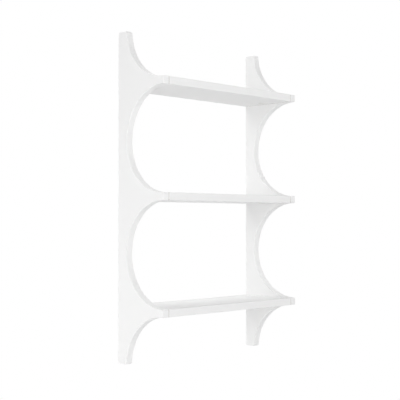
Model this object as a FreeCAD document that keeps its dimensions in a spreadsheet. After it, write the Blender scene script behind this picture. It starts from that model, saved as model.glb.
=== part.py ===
import FreeCAD, Part
import math
import os
import Sketcher

# White three-tier wall shelf: two scalloped side panels, three shelves between them,
# a cam joint and two dowels at every shelf end, and a keyhole hanger in each panel's back edge.
# X runs along the wall, Y towards the wall, Z up. The back edges lie in the plane Y = 0, and
# the origin is the middle of the middle shelf's back edge.

# Driving sizes, in millimetres. Angles are in degrees.
SIZES = {
    # Boards
    "board": 18,  # thickness of every panel and shelf
    "shelf_length": 430,  # clear width between the panels
    "bay_height": 244,  # clear height between two shelves, which is also a scallop's diameter
    "back_strip": 30,  # panel left behind a scallop at its deepest
    "nib_land": 3,  # straight stretch at the front of each nose
    "end_cut": 5,  # how far short of the end scallop's centre the panel is cut off
    "nib_round": 2,  # rounding of the nose's front corners
    "end_round": 5,  # rounding of the corners at the panel's ends
    "arris": 1.2,  # easing of every board's long edges
    # Dowels
    "dowel_radius": 4,
    "dowel_length": 30,
    "dowel_in_panel": 11,  # how much of a dowel sits in the panel
    "dowel_offset": 45,  # from the cam's line to each dowel, along the depth
    "dowel_chamfer": 1,
    "dowel_end_gap": 1,  # room for glue at both ends
    "fit": 0.05,  # radial clearance of dowels, cams, caps and bolts in their holes
    # Cam discs
    "cam_setback": 24,  # from the shelf's end to the cam's axis
    "cam_wall": 1.85,  # thinnest wall round the ball's pocket
    "cam_roof": 1,  # over the ball's pocket
    "cam_top_gap": 0.5,  # from the roof to the end of the bore
    "cavity_play": 1.8,  # ball's pocket, larger than the ball
    "eccentricity": 0.6,  # pocket's centre off the cam's axis, which is what draws the bolt in
    "slot_lead": 48,  # how far the neck's slot runs past both ends of the travel
    "cam_travel": 180,  # turn from locked to open
    "cross_length": 9,
    "cross_width": 1.6,
    "cross_depth": 2.5,
    "socket_radius": 2,
    "socket_depth": 3.2,
    # Cam bolts
    "ball_radius": 3.2,
    "ball_play": 0.25,  # above and below the ball in its pocket
    "mouth_play": 0.4,  # round the ball where it enters the cam
    "lock_gap": 0.1,  # between the ball and the slot's rims when locked
    "neck_radius": 1.8,
    "neck_play": 0.4,
    "collar_radius": 3.5,
    "collar_gap": 1,  # from the cam's bore to the collar
    "bore_play": 0.5,  # round the collar in the shelf's bolt bore
    "thread_crest": 2.95,
    "thread_depth": 0.55,
    "thread_pitch": 2.2,
    "thread_length": 11,
    "thread_end_gap": 0.8,
    # Cover caps
    "cap_overlap": 1.3,  # how far the brim covers the board round the cam's bore
    "cap_thickness": 1.2,
    "cap_round": 0.6,
    "cap_gap": 0.15,  # between the cap's brim and the shelf
    "peg_gap": 0.6,  # from the peg's end to the socket's floor
    # Hanger plates and their screws
    "hanger_drop": 45,  # from the panel's top end to the plate's middle
    "plate_margin": 2,  # board left on each side of the plate
    "plate_lip": 0.5,  # plate left under the screws' countersinks
    "plate_fit": 0.2,
    "plate_screw_reach": 19,  # from the plate's middle to each screw
    "keyhole_wall": 2,  # plate left on each side of the keyhole's round part
    "entry_drop": 5,  # from the plate's middle down to the round part's centre
    "slot_radius": 2.5,  # half the width of the keyhole's slot
    "slot_rise": 12,  # from the round part's centre up to the slot's end centre
    "head_pocket_depth": 9,  # room behind the plate for the wall screw's head
    "head_pocket_play": 0.6,
    "screw_head_radius": 3,
    "screw_shank_radius": 1.5,
    "screw_length": 14,
    "screw_point": 3,
    "screw_fit": 0.1,
    "drive_length": 3.4,
    "drive_width": 0.7,
    "drive_depth": 0.9,
}

# Sizes worked out from the driving ones.
SCALLOP = "(Sizes.bay_height / 2)"
PITCH = "(Sizes.bay_height + Sizes.board)"
CENTRE_DEPTH = f"(Sizes.back_strip + {SCALLOP})"
DEPTH = f"({CENTRE_DEPTH} + Sizes.nib_land)"
HALF_BOARD = "(Sizes.board / 2)"
END_CENTRE = f"({PITCH} + {HALF_BOARD} + {SCALLOP})"
HALF_HEIGHT = f"({END_CENTRE} - Sizes.end_cut)"
END_DEPTH = f"({CENTRE_DEPTH} - sqrt({SCALLOP} ^ 2 - Sizes.end_cut ^ 2))"
HALF_LENGTH = "(Sizes.shelf_length / 2)"
CAM_X = f"({HALF_LENGTH} - Sizes.cam_setback)"
JOINT_Y = f"(-{DEPTH} / 2)"
HALF_POCKET = "(Sizes.ball_radius + Sizes.ball_play)"
HALF_SLOT = "(Sizes.neck_radius + Sizes.neck_play)"
CAVITY = "(Sizes.ball_radius + Sizes.cavity_play)"
CAM_RADIUS = f"({CAVITY} + Sizes.eccentricity + Sizes.cam_wall)"
CAM_BORE = f"({CAM_RADIUS} + Sizes.fit)"
CAM_HEIGHT = f"({HALF_BOARD} + {HALF_POCKET} + Sizes.cam_roof)"
BALL_AT_RIM = f"sqrt(Sizes.ball_radius ^ 2 - {HALF_SLOT} ^ 2)"
BALL_REACH = f"({CAVITY} - Sizes.eccentricity - {BALL_AT_RIM} - Sizes.lock_gap)"
PANEL_MIDDLE = f"({HALF_LENGTH} + {HALF_BOARD})"
HANGER_Z = f"({HALF_HEIGHT} - Sizes.hanger_drop)"
SLOT_TOP = "(Sizes.slot_rise - Sizes.entry_drop)"
PLATE_END = f"({HALF_BOARD} - Sizes.plate_margin)"
ENTRY = f"({PLATE_END} - Sizes.keyhole_wall)"
COUNTERSINK = "(Sizes.screw_head_radius - Sizes.screw_shank_radius)"
PLATE = f"({COUNTERSINK} + Sizes.plate_lip)"

# Shelf levels, as a count of pitches from the middle shelf, and the two sides along X.
LEVELS = {"top": 1, "middle": 0, "bottom": -1}
SIDES = {"left": -1, "right": 1}

FULL_TURN = 360
QUARTER_TURN = 90
HALF_TURN = 180
TINY = 1e-6

# The sketcher counts its own axes down from -1, with the origin as the first one's start,
# and a line's or an arc's start, end and centre up from 1.
HORIZONTAL_AXIS = ORIGIN = -1
VERTICAL_AXIS = HORIZONTAL_AXIS - 1
START, END, CENTRE = range(1, 4)
ANTICLOCKWISE, CLOCKWISE = "anticlockwise", "clockwise"

Y_AXIS = FreeCAD.Vector(0, 1, 0)
Z_AXIS = FreeCAD.Vector(0, 0, 1)

doc = FreeCAD.newDocument("wall_shelf")
sheet = doc.addObject("Spreadsheet::Sheet", "Sizes")
for row, (name, value) in enumerate(SIZES.items(), start=1):
    sheet.set(f"A{row}", name)
    sheet.set(f"B{row}", str(value))
    sheet.setAlias(f"B{row}", name)
doc.recompute()

sub_parts = []


def number(expression):
    """Value of an expression that uses the sheet's sizes."""
    return float(sheet.evalExpression(expression))


def place(piece, x, y, z, axis=Z_AXIS, angle=0):
    """Turns a piece about its own origin and ties its place to three expressions."""
    piece.Placement = FreeCAD.Placement(FreeCAD.Vector(), FreeCAD.Rotation(axis, angle))
    for letter, expression in zip("xyz", (x, y, z)):
        piece.setExpression(f"Placement.Base.{letter}", expression)


def keep(piece, label):
    """Names a finished sub-part and puts it on the list to write out."""
    piece.Label = label
    sub_parts.append(piece)


def new_body(label):
    return doc.addObject("PartDesign::Body", label)


def new_sketch(body, role, offset="0"):
    """Empty sketch on one of the body's origin planes, moved along the plane's normal."""
    plane = next(feature for feature in body.Origin.OriginFeatures if feature.Role == role)
    sketch = body.newObject("Sketcher::SketchObject", "Sketch")
    sketch.AttachmentSupport = [(plane, "")]
    sketch.MapMode = "FlatFace"
    sketch.setExpression("AttachmentOffset.Base.z", offset)
    return sketch


def add_size(sketch, constraint, expression):
    index = sketch.addConstraint(constraint)
    sketch.setExpression(f"Constraints[{index}]", expression)


def pin(sketch, piece, end, kind, expression):
    """Ties one coordinate of a sketched point to the origin by an expression."""
    value = number(expression)
    if abs(value) < TINY:
        axis = VERTICAL_AXIS if kind == "DistanceX" else HORIZONTAL_AXIS
        sketch.addConstraint(Sketcher.Constraint("PointOnObject", piece, end, axis))
    elif value > 0:
        add_size(sketch, Sketcher.Constraint(kind, ORIGIN, START, piece, end, value), expression)
    else:
        constraint = Sketcher.Constraint(kind, piece, end, ORIGIN, START, -value)
        add_size(sketch, constraint, f"-({expression})")


def pin_point(sketch, piece, end, x, y):
    pin(sketch, piece, end, "DistanceX", x)
    pin(sketch, piece, end, "DistanceY", y)


def draw_outline(sketch, corners):
    """Closed outline through the corners, each (x, y) in expressions.

    A corner with three more values starts an arc: its centre's x and y, and its direction.
    The arc's ends fix all but its bulge, so the centre is tied across the chord.
    """
    points = [FreeCAD.Vector(number(corner[0]), number(corner[1]), 0) for corner in corners]
    sides = []
    for index, corner in enumerate(corners):
        here = points[index]
        there = points[(index + 1) % len(points)]
        if len(corner) == 2:
            piece = sketch.addGeometry(Part.LineSegment(here, there))
            sides.append((piece, START, END))
            continue
        centre = FreeCAD.Vector(number(corner[2]), number(corner[3]), 0)
        ends = (here, there) if corner[4] == ANTICLOCKWISE else (there, here)
        angles = [math.atan2(point.y - centre.y, point.x - centre.x) for point in ends]
        circle = Part.Circle(centre, Z_AXIS, (here - centre).Length)
        piece = sketch.addGeometry(Part.ArcOfCircle(circle, angles[0], angles[1]))
        if abs(there.x - here.x) > abs(there.y - here.y):
            pin(sketch, piece, CENTRE, "DistanceY", corner[3])
        else:
            pin(sketch, piece, CENTRE, "DistanceX", corner[2])
        sides.append((piece, START, END) if corner[4] == ANTICLOCKWISE else (piece, END, START))
    for index, (piece, start, end) in enumerate(sides):
        before, _, before_end = sides[index - 1]
        sketch.addConstraint(Sketcher.Constraint("Coincident", before, before_end, piece, start))
        pin_point(sketch, piece, start, corners[index][0], corners[index][1])
    if sketch.solve() != 0:
        raise RuntimeError(f"{sketch.Name}: the outline can't be solved")


def draw_circle(sketch, x, y, radius):
    centre = FreeCAD.Vector(number(x), number(y), 0)
    piece = sketch.addGeometry(Part.Circle(centre, Z_AXIS, number(radius)))
    pin_point(sketch, piece, CENTRE, x, y)
    add_size(sketch, Sketcher.Constraint("Radius", piece, number(radius)), radius)


def draw_rectangle(sketch, low_x, low_y, high_x, high_y):
    draw_outline(sketch, [(low_x, low_y), (high_x, low_y), (high_x, high_y), (low_x, high_y)])


def draw_upright_slot(sketch, x, low_y, high_y, radius):
    """Upright slot with round ends, given by the ends' centres."""
    left = f"{x} - {radius}"
    right = f"{x} + {radius}"
    draw_outline(sketch, [
        (right, low_y),
        (right, high_y, x, high_y, ANTICLOCKWISE),
        (left, high_y),
        (left, low_y, x, low_y, ANTICLOCKWISE),
    ])


def pad(body, sketch, length, backwards=False, middle=False):
    feature = body.newObject("PartDesign::Pad", "Pad")
    feature.Profile = sketch
    feature.setExpression("Length", length)
    feature.Reversed = backwards
    feature.Midplane = middle
    doc.recompute()
    return feature


def pocket(body, sketch, depth, backwards=False):
    """Cuts the sketch into the body and makes sure that material went."""
    volume_before = body.Shape.Volume
    feature = body.newObject("PartDesign::Pocket", "Pocket")
    feature.Profile = sketch
    feature.setExpression("Length", depth)
    feature.Reversed = backwards
    doc.recompute()
    if body.Shape.Volume > volume_before - TINY:
        raise RuntimeError(f"{body.Name}: a pocket cut nothing")
    return feature


def revolve(body, sketch, axis):
    feature = body.newObject("PartDesign::Revolution", "Revolution")
    feature.Profile = sketch
    feature.ReferenceAxis = (sketch, [axis])
    feature.Angle = FULL_TURN
    doc.recompute()
    return feature


def ease_edges(body, kind, size_name, size, wanted):
    """Fillets or chamfers those edges of the body's tip that pass a test."""
    base = body.Tip
    names = [f"Edge{index}" for index, edge in enumerate(base.Shape.Edges, start=1) if wanted(edge)]
    feature = body.newObject(f"PartDesign::{kind}", kind)
    feature.Base = (base, names)
    feature.setExpression(size_name, size)
    doc.recompute()
    return feature


def panel_corners():
    """Outline of a side panel, seen from +X, from the bottom of its back edge."""
    centre_y = f"-{CENTRE_DEPTH}"
    front_y = f"-{DEPTH}"
    end_y = f"-{END_DEPTH}"
    corners = [("0", f"-{HALF_HEIGHT}"), ("0", HALF_HEIGHT)]
    corners.append((end_y, HALF_HEIGHT, centre_y, END_CENTRE, CLOCKWISE))
    for level in LEVELS.values():
        middle = f"{level} * {PITCH}"
        corners.append((centre_y, f"{middle} + {HALF_BOARD}"))
        corners.append((front_y, f"{middle} + {HALF_BOARD}"))
        corners.append((front_y, f"{middle} - {HALF_BOARD}"))
        below = f"{middle} - {HALF_BOARD} - {SCALLOP}"
        corners.append((centre_y, f"{middle} - {HALF_BOARD}", centre_y, below, CLOCKWISE))
    corners.append((end_y, f"-{HALF_HEIGHT}"))
    return corners


def runs_across(edge):
    """True for a straight edge that runs through the panel's thickness."""
    return edge.BoundBox.YLength < TINY and edge.BoundBox.ZLength < TINY


def make_side_panel(side, sign):
    """Scalloped upright. Its inner face is the body's own YZ plane."""
    body = new_body(f"side_panel_{side}")
    outline = new_sketch(body, "YZ_Plane")
    draw_outline(outline, panel_corners())
    pad(body, outline, "Sizes.board", backwards=sign < 0)

    front = number(f"-{DEPTH}")
    end = number(HALF_HEIGHT)

    def at_nib(edge):
        return runs_across(edge) and abs(edge.CenterOfMass.y - front) < TINY

    def at_end(edge):
        return runs_across(edge) and abs(abs(edge.CenterOfMass.z) - end) < TINY

    def round_a_face(edge):
        return edge.BoundBox.XLength < TINY

    ease_edges(body, "Fillet", "Radius", "Sizes.nib_round", at_nib)
    ease_edges(body, "Fillet", "Radius", "Sizes.end_round", at_end)
    ease_edges(body, "Fillet", "Radius", "Sizes.arris", round_a_face)

    into_board = sign > 0
    bolt_holes = new_sketch(body, "YZ_Plane")
    dowel_holes = new_sketch(body, "YZ_Plane")
    for level in LEVELS.values():
        height = f"{level} * {PITCH}"
        draw_circle(bolt_holes, JOINT_Y, height, "Sizes.thread_crest + Sizes.fit")
        for offset in ("- Sizes.dowel_offset", "+ Sizes.dowel_offset"):
            draw_circle(dowel_holes, f"{JOINT_Y} {offset}", height, "Sizes.dowel_radius + Sizes.fit")
    pocket(body, bolt_holes, "Sizes.thread_length + Sizes.thread_end_gap", into_board)
    pocket(body, dowel_holes, "Sizes.dowel_in_panel + Sizes.dowel_end_gap", into_board)

    middle = f"{sign} * {HALF_BOARD}"
    recess = new_sketch(body, "XZ_Plane")
    low_screw = f"{HANGER_Z} - Sizes.plate_screw_reach"
    high_screw = f"{HANGER_Z} + Sizes.plate_screw_reach"
    draw_upright_slot(recess, middle, low_screw, high_screw, f"({PLATE_END} + Sizes.plate_fit)")
    pocket(body, recess, PLATE, backwards=True)

    head_room = new_sketch(body, "XZ_Plane")
    entry = f"{HANGER_Z} - Sizes.entry_drop"
    room = f"({ENTRY} + Sizes.head_pocket_play)"
    draw_upright_slot(head_room, middle, entry, f"{HANGER_Z} + {SLOT_TOP}", room)
    pocket(body, head_room, f"{PLATE} + Sizes.head_pocket_depth", backwards=True)

    pilot_holes = new_sketch(body, "XZ_Plane")
    for height in (low_screw, high_screw):
        draw_circle(pilot_holes, middle, height, "Sizes.screw_shank_radius + Sizes.fit")
    pocket(body, pilot_holes, "Sizes.screw_length", backwards=True)

    place(body, f"{sign} * {HALF_LENGTH}", "0", "0")
    keep(body, f"side_panel_{side}")


def make_shelf(level, step):
    """Plain board with a cam bore, a bolt bore and two dowel holes at each end."""
    body = new_body(f"shelf_{level}")
    blank = new_sketch(body, "XY_Plane")
    draw_rectangle(blank, f"-{HALF_LENGTH}", f"-{DEPTH}", HALF_LENGTH, "0")
    pad(body, blank, "Sizes.board", middle=True)
    ease_edges(body, "Fillet", "Radius", "Sizes.arris", lambda edge: True)

    cam_bore = new_sketch(body, "XY_Plane", f"-{HALF_BOARD}")
    draw_circle(cam_bore, CAM_X, JOINT_Y, CAM_BORE)
    bolt_bore = new_sketch(body, "YZ_Plane", HALF_LENGTH)
    draw_circle(bolt_bore, JOINT_Y, "0", "Sizes.collar_radius + Sizes.bore_play")
    dowel_holes = new_sketch(body, "YZ_Plane", HALF_LENGTH)
    for offset in ("- Sizes.dowel_offset", "+ Sizes.dowel_offset"):
        draw_circle(dowel_holes, f"{JOINT_Y} {offset}", "0", "Sizes.dowel_radius + Sizes.fit")
    dowel_depth = "Sizes.dowel_length - Sizes.dowel_in_panel + Sizes.dowel_end_gap"
    cuts = [
        pocket(body, cam_bore, f"{CAM_HEIGHT} + Sizes.cam_top_gap", backwards=True),
        pocket(body, bolt_bore, "Sizes.cam_setback"),
        pocket(body, dowel_holes, dowel_depth),
    ]

    volume_before = body.Shape.Volume
    other_end = body.newObject("PartDesign::Mirrored", "Mirrored")
    other_end.Originals = cuts
    plane = next(feature for feature in body.Origin.OriginFeatures if feature.Role == "YZ_Plane")
    other_end.MirrorPlane = (plane, [""])
    body.Tip = other_end
    doc.recompute()
    if body.Shape.Volume > volume_before - TINY:
        raise RuntimeError(f"{body.Name}: the second end has no holes")
    place(body, "0", "0", f"{step} * {PITCH}")
    keep(body, f"shelf_{level}")


def new_cylinder(radius, height, x="0", y="0", z="0", axis=Z_AXIS, angle=0):
    cylinder = doc.addObject("Part::Cylinder", "Cylinder")
    cylinder.setExpression("Radius", radius)
    cylinder.setExpression("Height", height)
    place(cylinder, x, y, z, axis, angle)
    return cylinder


def new_box(length, width, height, z):
    """Box centred on the Z axis, with its underside at a given height."""
    box = doc.addObject("Part::Box", "Box")
    for size_name, expression in (("Length", length), ("Width", width), ("Height", height)):
        box.setExpression(size_name, expression)
    place(box, f"-({length}) / 2", f"-({width}) / 2", z)
    return box


def make_cam(level, step, side, sign):
    """Cam disc. The bolt's axis is at the cam's own z = 0, and the panel lies towards its +X.

    An eccentric pocket holds the bolt's ball. The neck passes through a slot that runs round
    the wall for the whole travel and ends in a mouth as wide as the ball.
    """
    under = f"-{HALF_BOARD}"
    disc = new_cylinder(CAM_RADIUS, CAM_HEIGHT, z=under)
    ball_pocket = new_cylinder(CAVITY, f"2 * {HALF_POCKET}", x="-Sizes.eccentricity", z=f"-{HALF_POCKET}")
    lead = number("Sizes.slot_lead")
    neck_slot = new_cylinder(f"2 * {CAM_RADIUS}", f"2 * {HALF_SLOT}", z=f"-{HALF_SLOT}", angle=-lead)
    neck_slot.setExpression("Angle", "Sizes.cam_travel + 2 * Sizes.slot_lead")
    mouth_radius = "Sizes.ball_radius + Sizes.mouth_play"
    mouth = new_cylinder(mouth_radius, f"2 * {CAM_RADIUS}", axis=Y_AXIS, angle=-QUARTER_TURN)
    cross_bars = [
        new_box("Sizes.cross_length", "Sizes.cross_width", "Sizes.cross_depth", under),
        new_box("Sizes.cross_width", "Sizes.cross_length", "Sizes.cross_depth", under),
    ]
    socket = new_cylinder("Sizes.socket_radius", "Sizes.socket_depth", z=under)
    cutters = doc.addObject("Part::MultiFuse", "Cutters")
    cutters.Shapes = [ball_pocket, neck_slot, mouth, *cross_bars, socket]
    cam = doc.addObject("Part::Cut", "Cam")
    cam.Base = disc
    cam.Tool = cutters
    turn = 0 if sign > 0 else HALF_TURN
    place(cam, f"{sign} * {CAM_X}", JOINT_Y, f"{step} * {PITCH}", Z_AXIS, turn)
    keep(cam, f"cam_{level}_{side}")


def make_cam_bolt(level, step, side, sign):
    """Bolt turned about X: thread in the panel, collar in the shelf, and a ball in the cam."""
    body = new_body(f"cam_bolt_{level}_{side}")
    profile = new_sketch(body, "XY_Plane")
    ball_x = f"-(Sizes.cam_setback - {BALL_REACH})"
    ball_end = f"{ball_x} + sqrt(Sizes.ball_radius ^ 2 - Sizes.neck_radius ^ 2)"
    collar_x = f"-(Sizes.cam_setback - {CAM_BORE} - Sizes.collar_gap)"
    thread_root = "Sizes.thread_crest - Sizes.thread_depth"
    corners = [("Sizes.thread_length", "0"), ("Sizes.thread_length", thread_root)]
    turns = round(number("Sizes.thread_length / Sizes.thread_pitch"))
    for turn in reversed(range(turns)):
        corners.append((f"({turn} + 1 / 2) * Sizes.thread_pitch", "Sizes.thread_crest"))
        corners.append((f"{turn} * Sizes.thread_pitch", thread_root))
    corners += [
        ("0", "Sizes.collar_radius"),
        (collar_x, "Sizes.collar_radius"),
        (collar_x, "Sizes.neck_radius"),
        (ball_end, "Sizes.neck_radius", ball_x, "0", ANTICLOCKWISE),
        (f"{ball_x} - Sizes.ball_radius", "0"),
    ]
    draw_outline(profile, corners)
    revolve(body, profile, "H_Axis")
    turn = 0 if sign > 0 else HALF_TURN
    place(body, f"{sign} * {HALF_LENGTH}", JOINT_Y, f"{step} * {PITCH}", Z_AXIS, turn)
    keep(body, f"cam_bolt_{level}_{side}")


def make_cam_cap(level, step, side, sign):
    """Plastic cover that plugs into the cam's socket. Its own z = 0 is the shelf's underside."""
    body = new_body(f"cam_cap_{level}_{side}")
    profile = new_sketch(body, "XZ_Plane")
    brim_top = "-Sizes.cap_gap"
    brim_bottom = "-(Sizes.cap_gap + Sizes.cap_thickness)"
    peg_radius = "Sizes.socket_radius - Sizes.fit"
    peg_top = "Sizes.socket_depth - Sizes.peg_gap"
    brim_radius = f"{CAM_BORE} + Sizes.cap_overlap"
    draw_outline(profile, [
        ("0", brim_bottom),
        (brim_radius, brim_bottom),
        (brim_radius, brim_top),
        (peg_radius, brim_top),
        (peg_radius, peg_top),
        ("0", peg_top),
    ])
    revolve(body, profile, "V_Axis")
    lowest = number(brim_bottom)

    def rim(edge):
        return edge.BoundBox.ZMax < lowest + TINY and edge.BoundBox.XLength > TINY

    ease_edges(body, "Fillet", "Radius", "Sizes.cap_round", rim)
    place(body, f"{sign} * {CAM_X}", JOINT_Y, f"{step} * {PITCH} - {HALF_BOARD}")
    keep(body, f"cam_cap_{level}_{side}")


def make_dowels(level, step, side, sign):
    """Pair of wooden pins, one each side of the cam."""

    def end_rim(edge):
        return edge.BoundBox.ZLength < TINY

    dowels = []
    for offset in ("- Sizes.dowel_offset", "+ Sizes.dowel_offset"):
        body = new_body("dowel")
        rod = body.newObject("PartDesign::AdditiveCylinder", "Rod")
        rod.setExpression("Radius", "Sizes.dowel_radius")
        rod.setExpression("Height", "Sizes.dowel_length")
        doc.recompute()
        ease_edges(body, "Chamfer", "Size", "Sizes.dowel_chamfer", end_rim)
        root = f"{sign} * ({HALF_LENGTH} + Sizes.dowel_in_panel - Sizes.dowel_length)"
        place(body, root, f"{JOINT_Y} {offset}", f"{step} * {PITCH}", Y_AXIS, sign * QUARTER_TURN)
        dowels.append(body)
    pair = doc.addObject("Part::Compound", "Dowels")
    pair.Links = dowels
    keep(pair, f"dowels_{level}_{side}")


def make_hanger_plate(side, sign):
    """Steel plate with a keyhole and two countersunk holes, flush with the panel's back edge."""
    body = new_body(f"hanger_plate_{side}")
    outline = new_sketch(body, "XZ_Plane")
    draw_upright_slot(outline, "0", "-Sizes.plate_screw_reach", "Sizes.plate_screw_reach", PLATE_END)
    pad(body, outline, PLATE)

    keyhole = new_sketch(body, "XZ_Plane")
    shoulder = f"-Sizes.entry_drop + sqrt({ENTRY} ^ 2 - Sizes.slot_radius ^ 2)"
    draw_outline(keyhole, [
        ("Sizes.slot_radius", shoulder),
        ("Sizes.slot_radius", SLOT_TOP, "0", SLOT_TOP, ANTICLOCKWISE),
        ("-Sizes.slot_radius", SLOT_TOP),
        ("-Sizes.slot_radius", shoulder, "0", "-Sizes.entry_drop", ANTICLOCKWISE),
    ])
    pocket(body, keyhole, PLATE, backwards=True)

    screw_holes = new_sketch(body, "XZ_Plane")
    for height in ("-Sizes.plate_screw_reach", "Sizes.plate_screw_reach"):
        draw_circle(screw_holes, "0", height, "Sizes.screw_shank_radius + Sizes.screw_fit")
    pocket(body, screw_holes, PLATE, backwards=True)
    hole_width = 2 * number("Sizes.screw_shank_radius + Sizes.screw_fit")

    def hole_mouth(edge):
        box = edge.BoundBox
        return box.YLength < TINY and abs(box.YMax) < TINY and abs(box.XLength - hole_width) < TINY

    ease_edges(body, "Chamfer", "Size", COUNTERSINK, hole_mouth)
    place(body, f"{sign} * {PANEL_MIDDLE}", "0", HANGER_Z)
    keep(body, f"hanger_plate_{side}")


def make_hanger_screws(side, sign):
    """Pair of countersunk wood screws with a cross recess, heads flush with the plate."""
    screws = []
    for reach in ("- Sizes.plate_screw_reach", "+ Sizes.plate_screw_reach"):
        body = new_body("screw")
        profile = new_sketch(body, "XY_Plane")
        draw_outline(profile, [
            ("0", "0"),
            ("0", "-Sizes.screw_length"),
            ("Sizes.screw_shank_radius", "-(Sizes.screw_length - Sizes.screw_point)"),
            ("Sizes.screw_shank_radius", f"-{COUNTERSINK}"),
            ("Sizes.screw_head_radius", "0"),
        ])
        revolve(body, profile, "V_Axis")
        half_length = "(Sizes.drive_length / 2)"
        half_width = "(Sizes.drive_width / 2)"
        for across, along in ((half_length, half_width), (half_width, half_length)):
            slot = new_sketch(body, "XZ_Plane")
            draw_rectangle(slot, f"-{across}", f"-{along}", across, along)
            pocket(body, slot, "Sizes.drive_depth", backwards=True)
        place(body, f"{sign} * {PANEL_MIDDLE}", "0", f"{HANGER_Z} {reach}")
        screws.append(body)
    pair = doc.addObject("Part::Compound", "Screws")
    pair.Links = screws
    keep(pair, f"hanger_screws_{side}")


def check_document():
    """Stops if any object failed to build or any sub-part has no sound shape."""
    for item in doc.Objects:
        if "Invalid" in item.State or "Error" in item.State:
            raise RuntimeError(f"{item.Label} failed to build")
    for piece in sub_parts:
        if piece.Shape.isNull() or not piece.Shape.isValid():
            raise RuntimeError(f"{piece.Label} has no sound shape")


for side, sign in SIDES.items():
    make_side_panel(side, sign)
    make_hanger_plate(side, sign)
    make_hanger_screws(side, sign)
for level, step in LEVELS.items():
    make_shelf(level, step)
    for side, sign in SIDES.items():
        make_cam(level, step, side, sign)
        make_cam_bolt(level, step, side, sign)
        make_cam_cap(level, step, side, sign)
        make_dowels(level, step, side, sign)
doc.recompute()
check_document()

os.makedirs("parts", exist_ok=True)
for piece in sub_parts:
    piece.Shape.exportStep(f"parts/{piece.Label}.step")
    box = piece.Shape.optimalBoundingBox()
    lengths = [round(length, 1) for length in (box.XLength, box.YLength, box.ZLength)]
    print(piece.Label, "solids", len(piece.Shape.Solids), "box", lengths)
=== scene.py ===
# %% [markdown]
# This lesson dresses a white wall shelf: two side panels with scalloped fronts, three shelves between
# them, and the cams, bolts, dowels and keyhole plates that hold the unit together and on its wall.
# The construction is already finished and arrives as a fixed frame, in metres. Nothing of it is moved
# here: every step adds a finish, a finer piece in the place of a plain one, or light.

# %% Load the frame
import math

import bmesh
import bpy
from mathutils import Matrix, Vector


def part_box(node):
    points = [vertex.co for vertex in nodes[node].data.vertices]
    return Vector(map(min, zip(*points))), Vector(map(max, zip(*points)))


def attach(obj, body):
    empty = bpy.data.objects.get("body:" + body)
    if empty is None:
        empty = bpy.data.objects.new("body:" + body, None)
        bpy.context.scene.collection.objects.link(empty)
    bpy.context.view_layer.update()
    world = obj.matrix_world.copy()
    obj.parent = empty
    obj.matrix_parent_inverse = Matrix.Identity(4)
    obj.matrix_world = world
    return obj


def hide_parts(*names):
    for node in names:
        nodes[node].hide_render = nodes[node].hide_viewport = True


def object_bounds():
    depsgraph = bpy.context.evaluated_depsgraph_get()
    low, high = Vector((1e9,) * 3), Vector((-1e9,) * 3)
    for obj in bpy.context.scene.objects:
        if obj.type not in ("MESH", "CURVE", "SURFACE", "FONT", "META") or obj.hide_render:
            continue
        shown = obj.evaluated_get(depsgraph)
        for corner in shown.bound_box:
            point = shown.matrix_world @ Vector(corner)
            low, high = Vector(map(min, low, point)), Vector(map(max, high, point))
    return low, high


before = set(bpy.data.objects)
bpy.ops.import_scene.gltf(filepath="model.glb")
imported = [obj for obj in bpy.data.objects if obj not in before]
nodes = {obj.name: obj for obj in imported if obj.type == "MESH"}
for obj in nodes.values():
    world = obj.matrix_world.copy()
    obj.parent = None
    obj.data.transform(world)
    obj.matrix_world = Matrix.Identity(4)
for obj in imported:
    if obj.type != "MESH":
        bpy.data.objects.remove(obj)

MM = 0.001
cad_low, cad_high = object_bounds()
print("nodes:", len(nodes), "size in mm:", [round(length / MM, 1) for length in cad_high - cad_low])

# %% [markdown]
# The camera comes first, because every later choice is judged through it. The view is from the front
# left and a little below the middle shelf, so the undersides of the upper boards show, and the top of
# the lowest one. The lens could be shifted to keep the uprights exactly parallel. Here a long lens and
# an upward tilt of about one degree keep them nearly so, and leave the camera free to move round the
# unit without a leftover shift.

# %% Directions
def direction(azimuth, elevation):
    """Unit vector from the unit towards a viewer or a lamp, from two angles in degrees."""
    turned = math.radians(azimuth)
    raised = math.radians(elevation)
    return Vector((
        math.sin(turned) * math.cos(raised),
        -math.cos(turned) * math.cos(raised),
        math.sin(raised),
    ))


def aim(holder, away):
    """Turns a camera or a lamp to look against a direction, with its top upwards."""
    holder.rotation_euler = (-away).to_track_quat("-Z", "Y").to_euler()


print("straight in front of the shelves is", direction(0, 0)[:])

# %% Camera
SENSOR_WIDTH = 36.0
IMAGE_WIDTH = 400
FOCAL_LENGTH_PIXELS = 918.1
VIEW_ANGLES = (-45.27, -1.31)
CAMERA_PLACE = (-1.6273, -1.6515, -0.0554)


def add_object(name, data):
    """New object in the scene, at the origin."""
    thing = bpy.data.objects.new(name, data)
    bpy.context.scene.collection.objects.link(thing)
    return thing


camera = add_object("camera", bpy.data.cameras.new("camera"))
camera.data.sensor_width = SENSOR_WIDTH
camera.data.lens = FOCAL_LENGTH_PIXELS * SENSOR_WIDTH / IMAGE_WIDTH
camera.location = CAMERA_PLACE
aim(camera, direction(*VIEW_ANGLES))
bpy.context.scene.camera = camera
print("camera lens in mm:", round(camera.data.lens, 2))

# %% [markdown]
# A finish could be painted on an image, but images have to be stored and stretched over every face.
# Here each one is a Principled shader fed by patterns in Object coordinates, which stay with the piece
# in every view and need no unwrapping. The class below starts such a material and puts values on
# sockets. A value that is the same all over sits on the shader's own socket, and one that varies comes
# in through a link.

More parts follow.
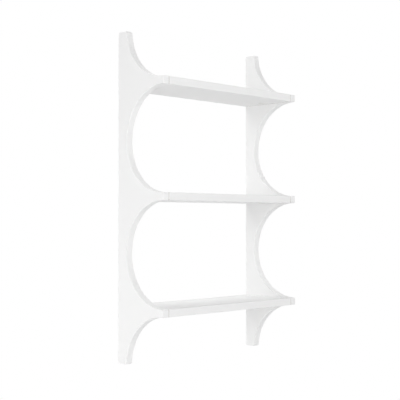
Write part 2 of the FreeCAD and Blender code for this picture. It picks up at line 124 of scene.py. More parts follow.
# %% Starting a finish
class Finish:
    """A node material under construction."""

    def __init__(self, name):
        self.material = bpy.data.materials.new(name)
        self.material.use_nodes = True
        self.tree = self.material.node_tree
        self.shader = self.tree.nodes["Principled BSDF"]
        coordinates = self.add("ShaderNodeTexCoord")
        self.place = coordinates.outputs["Object"]
        self.normal = coordinates.outputs["Normal"]

    def add(self, kind, **settings):
        node = self.tree.nodes.new(kind)
        for key, value in settings.items():
            setattr(node, key, value)
        return node

    def give(self, socket, value):
        """Puts a plain value on a socket, or joins the output of another node to it."""
        if isinstance(value, bpy.types.NodeSocket):
            self.tree.links.new(value, socket)
        else:
            socket.default_value = value

    def shade(self, **values):
        """Gives values to the shader's sockets, by their names."""
        for name, value in values.items():
            self.give(self.shader.inputs[name.replace("_", " ")], value)

    def done(self):
        print(self.material.name, "is made of", len(self.tree.nodes), "nodes")
        return self.material


print("a finish is built with", *(name for name in vars(Finish) if not name.startswith("_")))

# %% [markdown]
# A pattern is worked out from numbers, with one node for each step. It could be wired by hand, but the
# same steps come back in every finish, so they are helpers: to take one coordinate of a vector, to
# calculate, and to stretch one range over another. Noise seldom leaves the middle of its range, so the
# last one starts from that middle unless it is told otherwise.

# %% Numbers from coordinates
NOISE_RANGE = (0.3, 0.7)


def component(finish, vector, axis):
    """One coordinate of a vector."""
    node = finish.add("ShaderNodeSeparateXYZ")
    finish.give(node.inputs[0], vector)
    return node.outputs[axis]


def calculate(finish, operation, *values):
    """A number from one, two or three others."""
    node = finish.add("ShaderNodeMath", operation=operation)
    for socket, value in zip(node.inputs, values):
        finish.give(socket, value)
    return node.outputs[0]


def ramp(finish, value, ends=(0.0, 1.0), over=NOISE_RANGE):
    """A number that goes from one end to the other while its source crosses a range."""
    node = finish.add("ShaderNodeMapRange")
    for name, number in zip(("From Min", "From Max", "To Min", "To Max"), (*over, *ends)):
        finish.give(node.inputs[name], number)
    finish.give(node.inputs["Value"], value)
    return node.outputs["Result"]


print("noise is stretched from", NOISE_RANGE[0], "to", NOISE_RANGE[1])

# %% [markdown]
# The boards are fibreboard, sprayed with a matt satin white lacquer. A routed edge drinks more lacquer
# than a face, so it stays duller and a little grainy. Edges could be told from faces by painting each
# board, but the direction that a surface faces already says it: a panel's faces look along X, and
# a shelf's along Z.

# %% Edges and faces
EDGE_COSINE = 0.3
FACE_COSINE = 0.9


def edge_mask(finish, face_axis):
    """1 on a board's cut edges and 0 on its two faces."""
    facing = calculate(finish, "ABSOLUTE", component(finish, finish.normal, face_axis))
    return ramp(finish, facing, (1.0, 0.0), over=(EDGE_COSINE, FACE_COSINE))


print("a face leans less than", round(math.degrees(math.acos(FACE_COSINE))), "degrees from its axis")

# %% [markdown]
# A shelf's sawn end and the place on the panel where it sits are left bare, since lacquer there would
# hold the joint open. Between the two rounded edges the bare board shows as a brown hairline. It is
# partly bare board and partly painted shade: its dark brown stands in for the shadow in the fine gap
# between shelf and panel. It could be a strip of its own, but it is only a colour where the lacquer
# stops, so it is a mask: close to the joint's plane, and at a level.

# %% Bare board and painted shade in the joints
JOINT_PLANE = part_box("side_panel_right")[0].x
LEVEL_PITCH = (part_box("shelf_top")[0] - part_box("shelf_middle")[0]).z
HALF_BOARD = (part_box("shelf_top")[1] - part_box("shelf_top")[0]).z / 2
# Width of the brown line in each joint, which is bare board and painted shade of the joint's gap.
BARE_AND_SHADE_WIDTH = 0.38 * MM
BARE_AND_SHADE_SOFTNESS = 0.08 * MM


def within(finish, distance, limit):
    """1 where a distance is under a limit and 0 past it, with a soft end."""
    return ramp(finish, distance, (1.0, 0.0), over=(limit - BARE_AND_SHADE_SOFTNESS, limit))


def bare_joint_and_shade_mask(finish):
    """1 on the bare board between a shelf's end and its panel, a brown line that also paints the joint's
    shade, and 0 on lacquer.
    """
    across = calculate(finish, "ABSOLUTE", component(finish, finish.place, "X"))
    from_plane = calculate(finish, "ABSOLUTE", calculate(finish, "SUBTRACT", across, JOINT_PLANE))
    height = component(finish, finish.place, "Z")
    wrapped = calculate(finish, "WRAP", height, LEVEL_PITCH / 2, -LEVEL_PITCH / 2)
    from_level = calculate(finish, "ABSOLUTE", wrapped)
    near_plane = within(finish, from_plane, BARE_AND_SHADE_WIDTH)
    return calculate(finish, "MULTIPLY", near_plane, within(finish, from_level, HALF_BOARD))


print("joint plane at", round(JOINT_PLANE / MM, 2), "mm, levels", round(LEVEL_PITCH / MM, 2), "mm apart")

# %% [markdown]
# One flat white would look like card. Sprayed white drifts a little over a board, and bare fibre is
# mottled, so both are noise between two shades. The scales of noise in this lesson are features to the
# metre: the white drifts over about a hand's width, and the fibres lie less than a millimetre apart.

# %% Colour of the boards
WHITES = ((0.858, 0.858, 0.856, 1.0), (0.876, 0.876, 0.874, 1.0))
# Browns of the bare board, dark enough to be painted shade of the joint's gap as well.
BARE_AND_SHADE_BROWNS = ((0.26, 0.21, 0.16, 1.0), (0.38, 0.32, 0.25, 1.0))
DRIFT_SCALE = 9.0
FIBRE_SCALE = 1500.0
MIX_SOCKETS = {"FLOAT": (0, 2, 3, 0), "RGBA": (0, 6, 7, 2)}


def noise(finish, scale, detail=2.0, place=None):
    """A cloudy number, in Object coordinates unless others are given."""
    node = finish.add("ShaderNodeTexNoise")
    finish.give(node.inputs["Scale"], scale)
    finish.give(node.inputs["Detail"], detail)
    finish.give(node.inputs["Vector"], place or finish.place)
    return node.outputs["Fac"]


def mix(finish, factor, first, second, kind="RGBA"):
    """A colour or a number between two others. The node has sockets of its own for each kind."""
    node = finish.add("ShaderNodeMix", data_type=kind)
    *inputs, output = MIX_SOCKETS[kind]
    for index, value in zip(inputs, (factor, first, second)):
        finish.give(node.inputs[index], value)
    return node.outputs[output]


def board_colour(finish, bare_joint_and_shade):
    """White lacquer, with bare brown board in the joints, whose dark brown is also painted shade of
    their hairline gaps.
    """
    white = mix(finish, noise(finish, DRIFT_SCALE, detail=3.0), *WHITES)
    # Painted shade: the brown line in each joint darkens it the way the gap's shadow would.
    brown_and_shade = mix(finish, noise(finish, FIBRE_SCALE), *BARE_AND_SHADE_BROWNS)
    return mix(finish, bare_joint_and_shade, white, brown_and_shade)


print("the white drifts over", round(1 / DRIFT_SCALE / MM), "mm")

# %% [markdown]
# The gloss wanders too. A glossier lacquer could be chosen, but on white it would only burn out where
# a lamp is mirrored, so the boards are nearly matt. The edges are a step duller than the faces, and the
# bare board in the joints has almost no gloss.

# %% Gloss of the boards
FACE_ROUGHNESS = (0.56, 0.62)
EDGE_ROUGHNESS = (0.60, 0.66)
BARE_ROUGHNESS = 0.9
FACE_GLOSS_SCALE = 30.0
EDGE_GLOSS_SCALE = 120.0


def board_roughness(finish, edge, bare_joint_and_shade):
    """Roughness of the faces, the cut edges and the bare joints."""
    face = ramp(finish, noise(finish, FACE_GLOSS_SCALE, detail=4.0), FACE_ROUGHNESS)
    cut = ramp(finish, noise(finish, EDGE_GLOSS_SCALE, detail=4.0), EDGE_ROUGHNESS)
    lacquer = mix(finish, edge, face, cut, kind="FLOAT")
    bare = calculate(finish, "MULTIPLY", bare_joint_and_shade, BARE_ROUGHNESS)
    return calculate(finish, "MAXIMUM", lacquer, bare)


print("roughness of the faces:", FACE_ROUGHNESS, "and of the edges:", EDGE_ROUGHNESS)

# %% [markdown]
# Sprayed lacquer isn't quite flat: it dries in shallow ripples a few millimetres apart, and on a routed
# edge the fibres stand up under it. Both could be real relief, but they are hundredths of a millimetre
# deep and would take millions of faces, so they are bump. The grain of the edges is laid over the
# ripple, which runs everywhere.

# %% Surface of the boards
RIPPLE_SCALE = 350.0
RIPPLE_DEPTH = 0.01 * MM
GRAIN_SCALE = 1400.0
GRAIN_DEPTH = 0.012 * MM


def bump(finish, height, depth, under=None):
    """Fine relief, laid over another one where there is one."""
    node = finish.add("ShaderNodeBump")
    finish.give(node.inputs["Distance"], depth)
    finish.give(node.inputs["Height"], height)
    if under:
        finish.give(node.inputs["Normal"], under)
    return node.outputs["Normal"]


def board_surface(finish, edge):
    """Ripples all over, with grain on the cut edges."""
    ripple = bump(finish, noise(finish, RIPPLE_SCALE, detail=1.0), RIPPLE_DEPTH)
    grain = calculate(finish, "MULTIPLY", edge, noise(finish, GRAIN_SCALE, detail=3.0))
    return bump(finish, grain, GRAIN_DEPTH, under=ripple)


print("ripples are", round(1 / RIPPLE_SCALE / MM, 1), "mm apart")

# %% [markdown]
# Colour, gloss and surface come together in the lacquer. One material could serve all five boards if
# each told it which way its faces look. Two materials from one function are easier to follow: one for
# the panels and one for the shelves.

# %% White lacquer
LEVELS = ("top", "middle", "bottom")
SIDES = ("left", "right")
LACQUER_IOR = 1.45


def make_lacquer(name, face_axis):
    finish = Finish(name)
    edge = edge_mask(finish, face_axis)
    # This mask paints the joints' shade as well as their bare board.
    bare_joint_and_shade = bare_joint_and_shade_mask(finish)
    finish.shade(
        Base_Color=board_colour(finish, bare_joint_and_shade),
        Roughness=board_roughness(finish, edge, bare_joint_and_shade),
        Normal=board_surface(finish, edge),
        IOR=LACQUER_IOR,
    )
    return finish.done()


def dress(names, material):
    """Gives a finish to pieces of the construction."""
    for name in names:
        nodes[name].data.materials.clear()
        nodes[name].data.materials.append(material)
    print(material.name, "is on", len(names), "nodes")


dress([f"side_panel_{side}" for side in SIDES], make_lacquer("panel_lacquer", "X"))
dress([f"shelf_{level}" for level in LEVELS], make_lacquer("shelf_lacquer", "Z"))

# %% [markdown]
# The small fittings are round: caps, bolts and dowels. A round piece could be stacked from cylinders,
# but a lathe's way is cleaner: draw half of the outline once and spin it. Every turned piece below is
# drawn along X, with its radius along Y, and is put in its place when it is done.

# %% Turning
TURNED_SEGMENTS = 64
MERGE_DISTANCE = 0.001 * MM


def draw_profile(work, start, corners):
    """Line of edges from an existing point through corners, each (along, radius)."""
    for corner in corners:
        point = work.verts.new((*corner, 0))
        work.edges.new((start, point))
        start = point


def turn(work, segments=TURNED_SEGMENTS):
    """Spins all that is drawn so far once round the X axis, and closes it at the axis."""
    bmesh.ops.spin(
        work, geom=work.verts[:] + work.edges[:], cent=(0, 0, 0), axis=(1, 0, 0), dvec=(0, 0, 0),
        angle=2 * math.pi, steps=segments, use_merge=True,
    )
    bmesh.ops.remove_doubles(work, verts=work.verts, dist=MERGE_DISTANCE)
    bmesh.ops.recalc_face_normals(work, faces=work.faces)


print("a full turn has", TURNED_SEGMENTS, "steps of", 360 / TURNED_SEGMENTS, "degrees")

# %% Placing and finishing a piece
SHARP_ANGLE = math.radians(35)
HALF_TURN = math.pi
QUARTER_TURN = math.pi / 2
LYING_ALONG = {
    "+X": Matrix.Identity(3),
    "-X": Matrix.Rotation(HALF_TURN, 3, "Z"),
    "-Y": Matrix.Rotation(-QUARTER_TURN, 3, "Z"),
    "+Z": Matrix.Rotation(-QUARTER_TURN, 3, "Y"),
}


def put(work, place, way="+X"):
    """Lays a turned piece along an axis, or against it, and moves it to its place."""
    bmesh.ops.rotate(work, verts=work.verts, cent=(0, 0, 0), matrix=LYING_ALONG[way])
    bmesh.ops.translate(work, verts=work.verts, vec=place)


def make_piece(work, name, material, body):
    """Object from a finished bmesh, smooth apart from its sharp corners, that rides on a body."""
    mesh = bpy.data.meshes.new(name)
    work.to_mesh(mesh)
    work.free()
    mesh.shade_smooth()
    mesh.set_sharp_from_angle(angle=SHARP_ANGLE)
    mesh.materials.append(material)
    piece = add_object(name, mesh)
    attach(piece, body)
    print(name, "has", len(mesh.polygons), "faces")
    return piece


print("a turned piece can lie along", *LYING_ALONG)

# %% [markdown]
# A cover cap hides each cam under its shelf. It is moulded from white plastic, a touch warmer than the
# lacquer, in a mould that was spark-eroded to a fine matt grain. The grain could be modelled, but at
# a hundredth of a millimetre it is far too small to show as a shape, so it is bump.

# %% Cap plastic
CAP_WHITES = ((0.80, 0.795, 0.775, 1.0), (0.84, 0.836, 0.82, 1.0))
CAP_ROUGHNESS = (0.42, 0.55)
CAP_IOR = 1.49
CAP_TINT_SCALE = 140.0
CAP_GRAIN_SCALE = 3000.0
CAP_GRAIN_DEPTH = 0.01 * MM


def make_cap_plastic():
    finish = Finish("moulded_white_plastic")
    grain = noise(finish, CAP_GRAIN_SCALE, detail=3.0)
    finish.shade(
        Base_Color=mix(finish, noise(finish, CAP_TINT_SCALE, detail=3.0), *CAP_WHITES),
        Roughness=ramp(finish, grain, CAP_ROUGHNESS),
        Normal=bump(finish, grain, CAP_GRAIN_DEPTH),
        IOR=CAP_IOR,
    )
    return finish.done()


cap_plastic = make_cap_plastic()

# %% [markdown]
# The cap's face has a rounded rim, with a nick for a fingernail or a screwdriver, so that it can be
# prised off. The nick could be cut with a boolean, but pulling a few of the rim's points towards the
# middle is simpler and as clean. A cosine lets the pull fade out at both ends of the nick.

# %% Cap rims
RIM_ROUND = 0.6 * MM
RIM_ROUND_STEPS = 4
RIM_TOLERANCE = 0.15 * MM
NICK_DEPTH = 1.0 * MM
NICK_REACH = 1.2 * MM
NICK_HALF_ANGLE = math.radians(11)


def round_rim(work, along, radius):
    """Rounds the ring of edges at one place along the axis."""
    ring = {
        point for point in work.verts
        if abs(point.co.x - along) < RIM_TOLERANCE and point.co.yz.length > radius - RIM_TOLERANCE
    }
    rim = [edge for edge in work.edges if ring.issuperset(edge.verts)]
    bmesh.ops.bevel(
        work, geom=rim, offset=RIM_ROUND, offset_type="OFFSET", segments=RIM_ROUND_STEPS, profile=0.5,
        affect="EDGES", material=-1,
    )


def nick_rim(work, radius):
    """Pulls the rim's points in on the side that faces right once the cap stands along Z."""
    for point in work.verts:
        turned = math.atan2(point.co.y, -point.co.z) / NICK_HALF_ANGLE
        if point.co.yz.length > radius - NICK_REACH and abs(turned) < 1:
            pull = NICK_DEPTH * math.cos(turned * QUARTER_TURN)
            point.co.yz *= 1 - pull / radius


print("a nick is", round(2 * math.degrees(NICK_HALF_ANGLE)), "degrees wide")

# %% [markdown]
# The cap itself is a brim on a peg that plugs into the cam. It could be two cylinders, but turned as
# one it has no seam between them. In the middle of its face is the small dimple where the plastic was
# let into the mould. The nick points at the panel while the cam is locked, and because the cap rides on
# the same body as the cam, it turns with it.

# %% Cover caps
JOINTS = [(level, side) for level in LEVELS for side in SIDES]
CAP_SEGMENTS = 96
CAP_BRIM_TOP = -0.15 * MM
CAP_PEG_RADIUS = 1.95 * MM
CAP_RIM_WIDTH = 1.8 * MM
DIMPLE_RADIUS = 0.9 * MM
DIMPLE_DEPTH = 0.2 * MM


def turn_cap(face, radius, peg_end):
    """Cap along X, measured from the underside of its shelf."""
    work = bmesh.new()
    draw_profile(work, work.verts.new((face + DIMPLE_DEPTH, 0, 0)), [
        (face + DIMPLE_DEPTH, DIMPLE_RADIUS - DIMPLE_DEPTH),
        (face, DIMPLE_RADIUS),
        (face, radius - CAP_RIM_WIDTH),
        (face, radius),
        (CAP_BRIM_TOP, radius),
        (CAP_BRIM_TOP, CAP_PEG_RADIUS),
        (peg_end, CAP_PEG_RADIUS),
        (peg_end, 0),
    ])
    turn(work, CAP_SEGMENTS)
    round_rim(work, face, radius)
    nick_rim(work, radius)
    return work


for level, side in JOINTS:
    low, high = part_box(f"cam_cap_{level}_{side}")
    middle = (low + high) / 2
    middle.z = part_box(f"shelf_{level}")[0].z
    work = turn_cap(low.z - middle.z, (high.x - low.x) / 2, high.z - middle.z)
    put(work, middle, way="+Z")
    if side == "left":
        bmesh.ops.rotate(work, verts=work.verts, cent=middle, matrix=Matrix.Rotation(HALF_TURN, 3, "Z"))
    cap = make_piece(work, f"moulded_cap_{level}_{side}", cap_plastic, f"lock_{level}_{side}")
    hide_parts(f"cam_cap_{level}_{side}")

# %% [markdown]
# The cams are cast from zinc in a steel die and left as they come out: grey, a little mottled, with
# a skin of fine pits. A brushed metal would need its noise drawn out along one axis. A casting has no
# such direction, so both its gloss and its pits come from plain noise.

# %% Zinc cams
ZINC_GREYS = ((0.50, 0.51, 0.53, 1.0), (0.66, 0.67, 0.68, 1.0))
ZINC_ROUGHNESS = (0.52, 0.36)
MOTTLE_SCALE = 420.0
PIT_SCALE = 2600.0
PIT_DEPTH = 0.03 * MM


def make_zinc():
    finish = Finish("cast_zinc")
    mottle = noise(finish, MOTTLE_SCALE, detail=5.0)
    finish.shade(
        Base_Color=mix(finish, ramp(finish, mottle), *ZINC_GREYS),
        Roughness=ramp(finish, mottle, ZINC_ROUGHNESS),
        Normal=bump(finish, noise(finish, PIT_SCALE, detail=4.0), PIT_DEPTH),
        Metallic=1.0,
    )
    return finish.done()


dress([f"cam_{level}_{side}" for level, side in JOINTS], make_zinc())

# %% [markdown]
# The bolts are turned in a lathe and then zinc plated. A cutter leaves rings round the axis. They could
# be part of the outline, but they are finer than any step of it, so the noise for gloss and bump is
# squeezed along X, the bolts' axis, and drawn out across it. A Mapping node does that: it gives the
# noise another number of features to the metre along each axis.

# %% Plated steel
PLATED_GREYS = ((0.62, 0.63, 0.66, 1.0), (0.72, 0.71, 0.67, 1.0))
PLATED_ROUGHNESS = (0.18, 0.36)
PLATED_TINT_SCALE = 300.0
RING_SCALES = (7000.0, 250.0, 250.0)
RING_DEPTH = 0.008 * MM


def drawn_noise(finish, scales, detail):
    """Noise with scales of its own along X, Y and Z."""
    mapping = finish.add("ShaderNodeMapping")
    finish.give(mapping.inputs["Scale"], scales)
    finish.give(mapping.inputs["Vector"], finish.place)
    return noise(finish, 1.0, detail, place=mapping.outputs["Vector"])


def make_plated_steel():
    finish = Finish("plated_turned_steel")
    rings = drawn_noise(finish, RING_SCALES, detail=3.0)
    tint = ramp(finish, noise(finish, PLATED_TINT_SCALE, detail=3.0))
    finish.shade(
        Base_Color=mix(finish, tint, *PLATED_GREYS),
        Roughness=ramp(finish, rings, PLATED_ROUGHNESS),
        Normal=bump(finish, rings, RING_DEPTH),
        Metallic=1.0,
    )
    return finish.done()


plated_steel = make_plated_steel()

# %% [markdown]
# A thread is a ridge that climbs as it goes round. Rings would look alike from afar, but the eye finds
# the spiral at once when the bolt is taken out. Spin does it too: a three-cornered face is turned
# several times round while every step also moves it along. The ridge dies away at both ends, as
# a rolled thread does.

# %% Threads
STEPS_PER_TURN = 32
RUN_OUT_TURNS = 0.75
LEAST_RIDGE = 0.02
THREAD_SINK = 0.08 * MM


def fade_ridge(crest_points, start, end, pitch, foot):
    """Lowers a ridge's crest towards its two ends."""
    for point in crest_points:
        turns_from_end = min(point.co.x - start, end - point.co.x) / pitch
        kept = max(LEAST_RIDGE, min(1.0, turns_from_end / RUN_OUT_TURNS))
        radius = point.co.yz.length
        point.co.yz *= (foot + (radius - foot) * kept) / radius


def add_thread(work, start, end, pitch, root, crest, half_width):
    """Helical ridge round the X axis. Its foot sits a little inside the core, so that no gap shows."""
    old = set(work.verts)
    foot = root - THREAD_SINK
    corners = ((start - half_width, foot), (start, crest), (start + half_width, foot))
    ridge = work.faces.new([work.verts.new((*corner, 0)) for corner in corners])
    turns = (end - start) / pitch
    steps = round(turns * STEPS_PER_TURN)
    bmesh.ops.spin(
        work, geom=[ridge, *ridge.edges, *ridge.verts], cent=(0, 0, 0), axis=(1, 0, 0),
        dvec=((end - start) / steps, 0, 0), angle=2 * math.pi * turns, steps=steps,
    )
    halfway = (foot + crest) / 2
    crest_points = [point for point in work.verts if point not in old and point.co.yz.length > halfway]
    fade_ridge(crest_points, start, end, pitch, foot)
    bmesh.ops.recalc_face_normals(work, faces=work.faces)


print("a thread has", STEPS_PER_TURN, "steps a turn, and fades over", RUN_OUT_TURNS, "turns")

# %% [markdown]
# Each bolt has, from the cam to the panel, a ball that the cam hooks, a thin neck, a collar that fills
# the bore in the shelf, and a coarse thread for board. The ball could be a sphere pushed into the neck.
# Here its outline is a single point, spun about the ball's own middle until it meets the neck, and the
# rest of the outline follows from there, so that ball, neck and collar are one skin.

# %% Bolt outline
BALL_RADIUS = 3.2 * MM
BALL_STEPS = 14
NECK_RADIUS = 1.8 * MM
BALL_ARC = math.pi - math.asin(NECK_RADIUS / BALL_RADIUS)
COLLAR_RADIUS = 3.5 * MM
COLLAR_LENGTH = 15.5 * MM
COLLAR_EASE = 0.4 * MM
BOLT_ROOT = 2.4 * MM
BOLT_TIP = 1.2 * MM


def draw_bolt(work, ball_end, thread_end):
    """Half outline of a bolt along X, measured from the panel's inner face."""
    arc = bmesh.ops.spin(
        work, geom=[work.verts.new((ball_end, 0, 0))], cent=(ball_end + BALL_RADIUS, 0, 0),
        axis=(0, 0, -1), dvec=(0, 0, 0), angle=BALL_ARC, steps=BALL_STEPS,
    )
    neck = next(item for item in arc["geom_last"] if isinstance(item, bmesh.types.BMVert))
    draw_profile(work, neck, [
        (-COLLAR_LENGTH, NECK_RADIUS),
        (-COLLAR_LENGTH, COLLAR_RADIUS - COLLAR_EASE),
        (-COLLAR_LENGTH + COLLAR_EASE, COLLAR_RADIUS),
        (0, COLLAR_RADIUS),
        (0, BOLT_ROOT),
        (thread_end - BOLT_TIP, BOLT_ROOT),
        (thread_end, BOLT_ROOT - BOLT_TIP),
        (thread_end, 0),
    ])


print("a ball meets its neck after", round(math.degrees(BALL_ARC), 1), "degrees")

# %% Cam bolts
BOLT_CREST = 2.95 * MM
BOLT_PITCH = 2.2 * MM
BOLT_RIDGE_HALF = 0.99 * MM

for level, side in JOINTS:
    low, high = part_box(f"cam_bolt_{level}_{side}")
    ball_end, thread_end = sorted(abs(end) - JOINT_PLANE for end in (low.x, high.x))
    work = bmesh.new()
    draw_bolt(work, ball_end, thread_end)
    turn(work)
    run = (BOLT_PITCH / 2, thread_end - BOLT_PITCH)
    add_thread(work, *run, BOLT_PITCH, BOLT_ROOT, BOLT_CREST, BOLT_RIDGE_HALF)
    middle = (low + high) / 2
    middle.x = math.copysign(JOINT_PLANE, middle.x)
    put(work, middle, way="+X" if side == "right" else "-X")
    bolt = make_piece(work, f"threaded_bolt_{level}_{side}", plated_steel, "shelf_unit")
    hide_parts(f"cam_bolt_{level}_{side}")

# %% [markdown]
# The dowels are beech, which is pale and pinkish brown, with a fine even grain and short dark flecks
# that lie along it. A tree's rings could be drawn, but a stick this thin shows only a piece of one, so
# grain and flecks are noise drawn out along X, the way the dowels were cut from the plank.

# %% Beech
BEECH_BROWNS = ((0.56, 0.38, 0.24, 1.0), (0.72, 0.53, 0.36, 1.0))
FLECK_BROWN = (0.40, 0.25, 0.15, 1.0)
BEECH_ROUGHNESS = (0.72, 0.60)
BEECH_GRAIN_SCALES = (60.0, 1100.0, 1100.0)
BEECH_GRAIN_DEPTH = 0.05 * MM
FLECK_SCALES = (420.0, 3200.0, 3200.0)
FLECK_RANGE = (0.60, 0.68)
FLECK_STRENGTH = 0.6


def make_beech():
    finish = Finish("bare_beech")
    grain = drawn_noise(finish, BEECH_GRAIN_SCALES, detail=4.0)
    wood = mix(finish, ramp(finish, grain), *BEECH_BROWNS)
    flecks = drawn_noise(finish, FLECK_SCALES, detail=1.0)
    fleck_mask = ramp(finish, flecks, (0.0, FLECK_STRENGTH), over=FLECK_RANGE)
    finish.shade(
        Base_Color=mix(finish, fleck_mask, wood, FLECK_BROWN),
        Roughness=ramp(finish, grain, BEECH_ROUGHNESS),
        Normal=bump(finish, grain, BEECH_GRAIN_DEPTH),
    )
    return finish.done()


beech = make_beech()

# %% [markdown]
# Wooden dowels aren't plain rods. Flutes pressed along them let glue and air escape, and their ends are
# tapered so that they find their holes. Bump could suggest the flutes, but then the outline would stay
# round, so each dowel is modelled: a rod is turned, and its points are pulled towards the axis wherever
# a flute runs.

# %% One dowel
FLUTES = 16
POINTS_PER_FLUTE = 6
FLUTE_DEPTH = 0.35 * MM
DOWEL_TAPER = 1.0 * MM


def press_flutes(work):
    """Pulls the points towards the axis along every flute."""
    for point in work.verts:
        radius = point.co.yz.length
        if radius > FLUTE_DEPTH:
            turned = math.atan2(point.co.z, point.co.y) * FLUTES
            point.co.yz *= 1 - FLUTE_DEPTH * max(0.0, math.cos(turned)) / radius


def turn_dowel(radius, length):
    """Dowel along X, with its first end at the origin."""
    work = bmesh.new()
    draw_profile(work, work.verts.new((0, 0, 0)), [
        (0, radius - DOWEL_TAPER),
        (DOWEL_TAPER, radius),
        (length - DOWEL_TAPER, radius),
        (length, radius - DOWEL_TAPER),
        (length, 0),
    ])
    turn(work, FLUTES * POINTS_PER_FLUTE)
    press_flutes(work)
    return work


print("a dowel has", FLUTES, "flutes and", FLUTES * POINTS_PER_FLUTE, "points round")

# %% Pairs of dowels
def add_twin(work, offset):
    """Second copy of everything made so far, moved by an offset."""
    copied = bmesh.ops.duplicate(work, geom=work.verts[:] + work.edges[:] + work.faces[:])["geom"]
    points = [item for item in copied if isinstance(item, bmesh.types.BMVert)]
    bmesh.ops.translate(work, verts=points, vec=offset)


for level, side in JOINTS:
    low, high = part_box(f"dowels_{level}_{side}")
    radius = (high.z - low.z) / 2
    work = turn_dowel(radius, high.x - low.x)
    put(work, (low.x, low.y + radius, low.z + radius))
    add_twin(work, (0, high.y - low.y - 2 * radius, 0))
    pair = make_piece(work, f"fluted_dowels_{level}_{side}", beech, "shelf_unit")
    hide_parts(f"dowels_{level}_{side}")

# %% [markdown]
# The hanger plates are stamped from galvanised strip. Hot zinc freezes in flat crystals, which show as
# a faint patchwork of greys, and the rolls leave long scratches. Plain noise would give clouds, without
# the crystals' straight borders, so Voronoi cells make the crystals. Noise drawn out along Z makes the
# scratches.

# %% Hanger plates
GALVANISED_GREYS = ((0.58, 0.60, 0.62, 1.0), (0.72, 0.72, 0.71, 1.0))
GALVANISED_ROUGHNESS = (0.26, 0.44)
CRYSTAL_SCALE = 320.0
SCRATCH_SCALES = (5000.0, 5000.0, 90.0)
SCRATCH_DEPTH = 0.01 * MM


def make_galvanised_steel():
    finish = Finish("galvanised_strip")
    crystals = finish.add("ShaderNodeTexVoronoi")
    finish.give(crystals.inputs["Scale"], CRYSTAL_SCALE)
    finish.give(crystals.inputs["Vector"], finish.place)
    patch = component(finish, crystals.outputs["Color"], "X")
    scratches = drawn_noise(finish, SCRATCH_SCALES, detail=4.0)
    finish.shade(
        Base_Color=mix(finish, patch, *GALVANISED_GREYS),
        Roughness=ramp(finish, scratches, GALVANISED_ROUGHNESS),
        Normal=bump(finish, scratches, SCRATCH_DEPTH),
        Metallic=1.0,
    )
    return finish.done()


dress([f"hanger_plate_{side}" for side in SIDES], make_galvanised_steel())

# %% [markdown]
# The screws in the plates are yellow passivated: a thin film over the zinc that shifts between gold,
# straw and a greenish grey. On a real screw the colour also shifts with the angle, but a shader that
# follows the viewer is lost when a model is exported. Two layers of slow noise move the colour instead,
# and a finer one the gloss.

# %% Passivated steel
FILM_GOLDS = ((0.74, 0.60, 0.30, 1.0), (0.72, 0.66, 0.46, 1.0))
FILM_GREEN = (0.56, 0.58, 0.48, 1.0)
FILM_ROUGHNESS = (0.24, 0.38)
FILM_SCALE = 260.0
GREEN_SCALE = 700.0
GREEN_STRENGTH = 0.5
FILM_GLOSS_SCALE = 2200.0


def make_passivated_steel():
    finish = Finish("yellow_passivated_steel")
    gold = mix(finish, ramp(finish, noise(finish, FILM_SCALE, detail=3.0)), *FILM_GOLDS)
    green_mask = ramp(finish, noise(finish, GREEN_SCALE), (0.0, GREEN_STRENGTH))
    finish.shade(
        Base_Color=mix(finish, green_mask, gold, FILM_GREEN),
        Roughness=ramp(finish, noise(finish, FILM_GLOSS_SCALE, detail=3.0), FILM_ROUGHNESS),
        Metallic=1.0,
    )
    return finish.done()


passivated_steel = make_passivated_steel()
dress([f"hanger_screws_{side}" for side in SIDES], passivated_steel)

# %% [markdown]
# Their heads, cross recesses and shanks are already there. The screws could be replaced whole, but what
# they still need is only a thread, the fine sharp ridge that bites into the panel, so that is added
# round each shank with the same helper as the bolts'.

# %% Screw threads
SCREW_SHANK = 1.5 * MM
SCREW_CREST = 2.0 * MM
SCREW_PITCH = 1.3 * MM
SCREW_RIDGE_HALF = 0.39 * MM
SCREW_BARE = 3.2 * MM
SCREW_POINT = 3.0 * MM

for side in SIDES:
    low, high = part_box(f"hanger_screws_{side}")
    head = (high.x - low.x) / 2
    work = bmesh.new()
    run = (SCREW_BARE, high.y - low.y - SCREW_POINT)
    add_thread(work, *run, SCREW_PITCH, SCREW_SHANK, SCREW_CREST, SCREW_RIDGE_HALF)
    put(work, ((low.x + high.x) / 2, high.y, low.z + head), way="-Y")
    add_twin(work, (0, 0, high.z - low.z - 2 * head))
    make_piece(work, f"hanger_screw_threads_{side}", passivated_steel, "shelf_unit")

# %% [markdown]
# The unit hangs on a wall, so there is no table under it. A pale floor well below it catches a soft
# shadow, and a white sweep behind is the usual studio way to lose the floor's edge. A one-piece floor
# that fades into white a little way out does the same with less, and it only fades for rays that see
# it: the light it returns to the unit is that of a plain pale floor. From below it is clear, so that it
# never hides the undersides.

# %% White that is only seen
SEEING_RAYS = ("Is Camera Ray", "Is Glossy Ray", "Is Transmission Ray")


def seen_directly(tree):
    """1 for rays from the camera or by way of gloss or glass, and 0 for rays that light surfaces."""
    path = tree.nodes.new("ShaderNodeLightPath")
    seen = path.outputs[SEEING_RAYS[0]]
    for name in SEEING_RAYS[1:]:
        either = tree.nodes.new("ShaderNodeMath")
        either.operation = "MAXIMUM"
        tree.links.new(seen, either.inputs[0])
        tree.links.new(path.outputs[name], either.inputs[1])
        seen = either.outputs[0]
    return seen


def choose_shader(tree, factor, first, second):
    """The first shader where a factor is 0, and the second where it is 1."""
    choice = tree.nodes.new("ShaderNodeMixShader")
    for socket, source in zip(choice.inputs, (factor, first, second)):
        tree.links.new(source, socket)
    return choice.outputs[0]


print("kinds of ray that see white:", len(SEEING_RAYS))

# %% Floor paint
FLOOR_WHITE = (0.90, 0.90, 0.90, 1.0)
FLOOR_ROUGHNESS = 0.8
FADE_RANGE = (0.3, 1.3)


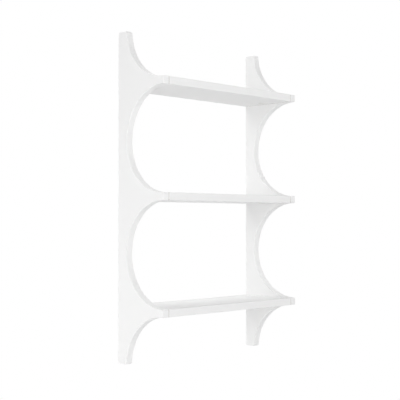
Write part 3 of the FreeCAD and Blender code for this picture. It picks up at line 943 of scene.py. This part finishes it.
def make_floor_paint():
    finish = Finish("pale_floor")
    finish.shade(Base_Color=FLOOR_WHITE, Roughness=FLOOR_ROUGHNESS)
    from_middle = finish.add("ShaderNodeVectorMath", operation="LENGTH")
    finish.give(from_middle.inputs[0], finish.place)
    far = ramp(finish, from_middle.outputs["Value"], over=FADE_RANGE)
    faded = calculate(finish, "MULTIPLY", far, seen_directly(finish.tree))
    white = finish.add("ShaderNodeEmission").outputs[0]
    clear = finish.add("ShaderNodeBsdfTransparent").outputs[0]
    from_below = finish.add("ShaderNodeNewGeometry").outputs["Backfacing"]
    upper_side = choose_shader(finish.tree, faded, finish.shader.outputs[0], white)
    both_sides = choose_shader(finish.tree, from_below, upper_side, clear)
    finish.give(finish.tree.nodes["Material Output"].inputs["Surface"], both_sides)
    return finish.done()


floor_paint = make_floor_paint()

# %% Floor
FLOOR_DROP = 0.46
FLOOR_HALF_SIZE = 4.5

work = bmesh.new()
bmesh.ops.create_grid(work, x_segments=1, y_segments=1, size=FLOOR_HALF_SIZE)
floor_mesh = bpy.data.meshes.new("floor")
work.to_mesh(floor_mesh)
work.free()
floor_mesh.materials.append(floor_paint)
floor = add_object("floor", floor_mesh)
floor.location.z = cad_low.z - FLOOR_DROP
print("floor at", round(floor.location.z, 3), "m")

# %% [markdown]
# The world is the studio's white walls. One strength could do for all of it, but walls bright enough to
# look white would also flood the unit with light and wash its shadows out. So they are seen as white,
# also in a reflection, and light the unit at a lower level.

# %% World
WORLD_WHITE = (1.0, 1.0, 1.0, 1.0)
WORLD_LIGHT = 0.255
WORLD_SEEN = 1.0


def make_world():
    world = bpy.data.worlds.new("studio")
    world.use_nodes = True
    tree = world.node_tree
    tree.nodes.clear()
    walls = []
    for strength in (WORLD_LIGHT, WORLD_SEEN):
        background = tree.nodes.new("ShaderNodeBackground")
        background.inputs["Color"].default_value = WORLD_WHITE
        background.inputs["Strength"].default_value = strength
        walls.append(background.outputs[0])
    output = tree.nodes.new("ShaderNodeOutputWorld")
    tree.links.new(choose_shader(tree, seen_directly(tree), *walls), output.inputs["Surface"])
    return world


bpy.context.scene.world = make_world()
print("walls are seen at", WORLD_SEEN, "and give light at", WORLD_LIGHT)

# %% [markdown]
# White on white is all in the light. One big lamp would do, but its shadows would be darker than
# a catalogue's. Five wide soft boxes stand round the unit instead. A sixth, smaller and nearer, stands
# low beside the left panel, and makes that panel grow a little brighter downwards. Light fades with the
# square of the distance, so only a near lamp can light one end of a board more than the other.

# %% Lamps
# Azimuth and elevation in degrees, distance in metres, and watts.
LAMPS = {
    "front_left": (-60, 10, 2.5, 25.0),
    "front": (0, 10, 2.5, 18.5),
    "right": (80, 20, 2.5, 18.5),
    "over_back": (-160, 60, 2.5, 33.0),
    "low_back": (-150, -10, 2.5, 10.0),
    "foot": (-109, -22, 1.15, 1.2),
}
LAMP_SPREAD = 0.7


def make_lamp(name, azimuth, elevation, distance, watts):
    """Round soft box that looks at the unit, and is wider the further away it stands."""
    lamp = bpy.data.lights.new(name, "AREA")
    lamp.shape = "DISK"
    lamp.size = LAMP_SPREAD * distance
    lamp.energy = watts
    holder = add_object(name, lamp)
    away = direction(azimuth, elevation)
    holder.location = (cad_low + cad_high) / 2 + distance * away
    aim(holder, away)
    print(name, "lamp is", round(lamp.size, 2), "m wide")


for name, values in LAMPS.items():
    make_lamp(name, *values)

# %% [markdown]
# Last, the colours are shown as they are, without a film curve.

# %% Colour view
bpy.context.scene.view_settings.view_transform = "Standard"
